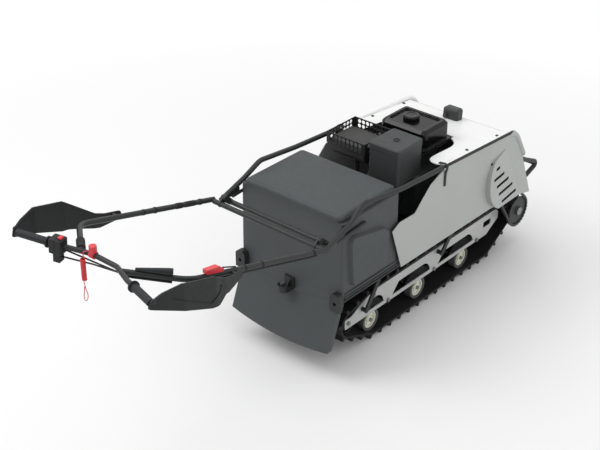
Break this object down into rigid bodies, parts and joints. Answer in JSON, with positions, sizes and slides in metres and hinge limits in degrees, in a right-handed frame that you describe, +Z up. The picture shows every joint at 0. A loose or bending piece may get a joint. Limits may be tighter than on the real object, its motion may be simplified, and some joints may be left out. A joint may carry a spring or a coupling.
{
  "type": "tracked snow tug",
  "caption": "Walk-behind tracked snow tug: wide rubber track under a slim body with an open engine, a rear trunk with a hinged lid and a folding handlebar.",
  "frame": {"origin": "on the ground under the middle of the machine's length and width, at the tips of the track's lugs", "axes": "+X forward, away from the handlebar; +Y to the machine's left; +Z up"},
  "size_m": [2.8872, 0.8844, 1.0739],
  "materials": {
    "belt_rubber": "matt",
    "tyre_rubber": "matt",
    "cream_plastic": "satin",
    "dark_plastic": "satin",
    "zinc_steel": "zinc plated",
    "rail_alloy": "satin",
    "black_paint": "satin powder coat",
    "sprocket_steel": "dark satin",
    "chain_steel": "oiled",
    "cast_alloy": "cast",
    "grey_plastic": "fine grain",
    "panel_grey": "satin",
    "hood_white": "satin gloss",
    "lamp_black": "satin",
    "lamp_glass": "clear",
    "grip_rubber": "matt",
    "red_plastic": "satin gloss",
    "engine_grey": "satin",
    "tank_black": "gloss",
    "exhaust_steel": "heat dulled"
  },
  "bodies": {
    "chassis": {"air_box": "engine_grey", "cage_cross": "black_paint", "cage_tubes": "black_paint", "chain_wheels": "sprocket_steel", "deck_plate": "black_paint", "deck_sides": "black_paint", "drive_chain": "chain_steel", "drive_shaft": "zinc_steel", "engine_block": "cast_alloy", "engine_cylinder": "cast_alloy", "front_bumper": "black_paint", "front_fascia": "panel_grey", "fuel_cap": "dark_plastic", "fuel_tank": "tank_black", "gearbox": "cast_alloy", "headlamp": "lamp_black", "headlamp_lens": "lamp_glass", "hood_top": "hood_white", "lid_hinges": "zinc_steel", "muffler": "exhaust_steel", "muffler_guard": "black_paint", "rear_apron": "grey_plastic", "rear_ears": "black_paint", "side_panel_left": "panel_grey", "side_panel_right": "panel_grey", "side_rails": "rail_alloy", "suspension": "black_paint", "tow_hitch": "black_paint", "track_belt": "belt_rubber", "trunk_body": "grey_plastic", "wheel_axles": "zinc_steel", "wheel_discs_inner": "dark_plastic", "wheel_discs_outer": "cream_plastic", "wheel_tyres": "tyre_rubber"},
    "handlebar_frame": {"handlebar_arms": "black_paint", "handlebar": "black_paint", "grips": "grip_rubber", "arm_sleeves": "grip_rubber", "hand_guards": "dark_plastic", "switch_box": "dark_plastic", "stop_switch": "red_plastic", "lanyard_coil": "red_plastic", "lanyard_clip": "red_plastic", "shift_lever": "red_plastic"},
    "lid": {"trunk_lid": "grey_plastic"}
  },
  "joints": [
    {"name": "handlebar_fold", "type": "hinge", "parent": "chassis", "child": "handlebar_frame", "pos_m": [-0.352, 0, 0.772], "axis": [0, 1, 0], "range_deg": [-25, 140]},
    {"name": "lid_hinge", "type": "hinge", "parent": "chassis", "child": "lid", "pos_m": [0.203, 0, 0.7965], "axis": [0, 1, 0], "range_deg": [0, 100]}
  ]
}
